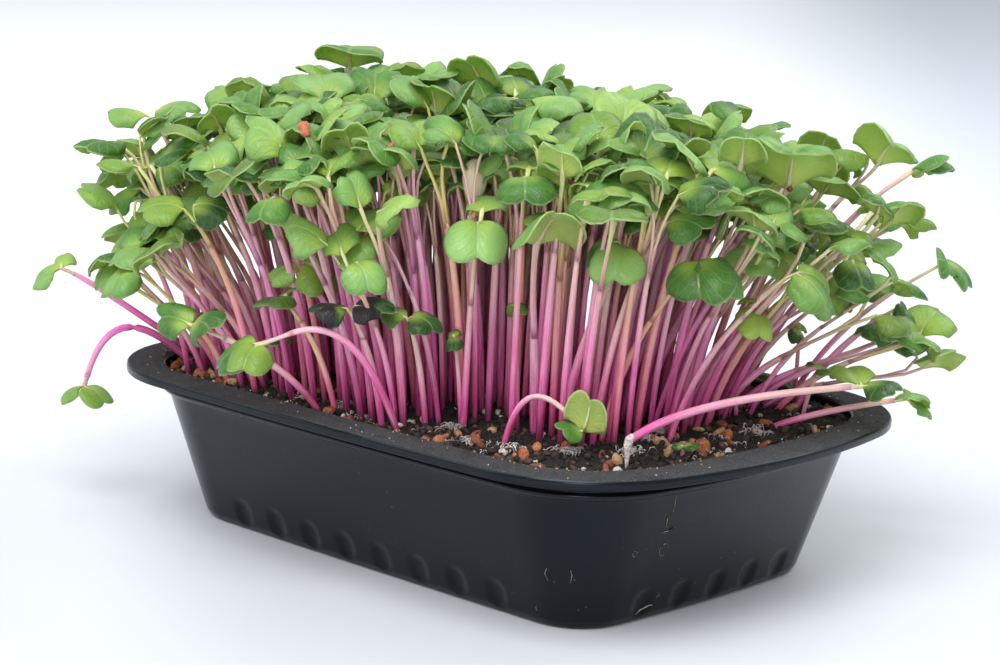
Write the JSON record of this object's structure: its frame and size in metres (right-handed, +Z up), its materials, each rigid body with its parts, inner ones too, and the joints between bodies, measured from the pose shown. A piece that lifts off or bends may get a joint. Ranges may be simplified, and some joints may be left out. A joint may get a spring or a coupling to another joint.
{
  "type": "radish microgreens tray",
  "caption": "Radish microgreens with pink stems and paired green seed leaves, growing from dark soil in a rounded black plastic tray.",
  "frame": {"origin": "middle of the tray's flat underside", "axes": "+Z up; +X along the tray's length; +Y along its width"},
  "size_m": [0.2333, 0.2007, 0.1374],
  "materials": {
    "tray_plastic": "semi-gloss black thermoformed plastic, dusty on the flange",
    "growing_soil": "damp dark potting soil with perlite, seed husks and clay crumbs",
    "seedling_green": "soft plant skin, green seed leaves on magenta to pale stems"
  },
  "bodies": {
    "root": {"seedling_arch_left": "seedling_green", "seedling_arch_small": "seedling_green", "seedling_broad_back": "seedling_green", "seedling_brown_right": "seedling_green", "seedling_cluster_left": "seedling_green", "seedling_corner_stem": "seedling_green", "seedling_dark_pair": "seedling_green", "seedling_droop_left": "seedling_green", "seedling_edge_low": "seedling_green", "seedling_edge_mid": "seedling_green", "seedling_edge_out": "seedling_green", "seedling_edge_top": "seedling_green", "seedling_fan_left": "seedling_green", "seedling_fan_mid": "seedling_green", "seedling_fan_right": "seedling_green", "seedling_far_00": "seedling_green", "seedling_far_01": "seedling_green", "seedling_far_02": "seedling_green", "seedling_far_03": "seedling_green", "seedling_far_04": "seedling_green", "seedling_far_05": "seedling_green", "seedling_far_06": "seedling_green", "seedling_far_07": "seedling_green", "seedling_far_08": "seedling_green", "seedling_far_09": "seedling_green", "seedling_far_10": "seedling_green", "seedling_far_11": "seedling_green", "seedling_far_12": "seedling_green", "seedling_folded_front": "seedling_green", "seedling_hang_left": "seedling_green", "seedling_heart_right": "seedling_green", "seedling_kidney_front": "seedling_green", "seedling_lobed_left": "seedling_green", "seedling_long_fork": "seedling_green", "seedling_long_left": "seedling_green", "seedling_low_left": "seedling_green", "seedling_low_yellow": "seedling_green", "seedling_lying_stem": "seedling_green", "seedling_middle_00": "seedling_green", "seedling_middle_01": "seedling_green", "seedling_middle_02": "seedling_green", "seedling_middle_03": "seedling_green", "seedling_middle_04": "seedling_green", "seedling_middle_05": "seedling_green", "seedling_oblique_mid": "seedling_green", "seedling_pale_mid": "seedling_green", "seedling_round_front": "seedling_green", "seedling_round_right": "seedling_green", "seedling_short_yellow": "seedling_green", "seedling_stalk_mid": "seedling_green", "seedling_tall_back": "seedling_green", "seedling_tall_right": "seedling_green", "seedling_top_left": "seedling_green", "seedling_upright_mid": "seedling_green", "seedling_veined_mid": "seedling_green", "seedling_wavy_left": "seedling_green", "seedling_wing_left": "seedling_green", "soil": "growing_soil", "tray": "tray_plastic"}
  },
  "joints": []
}
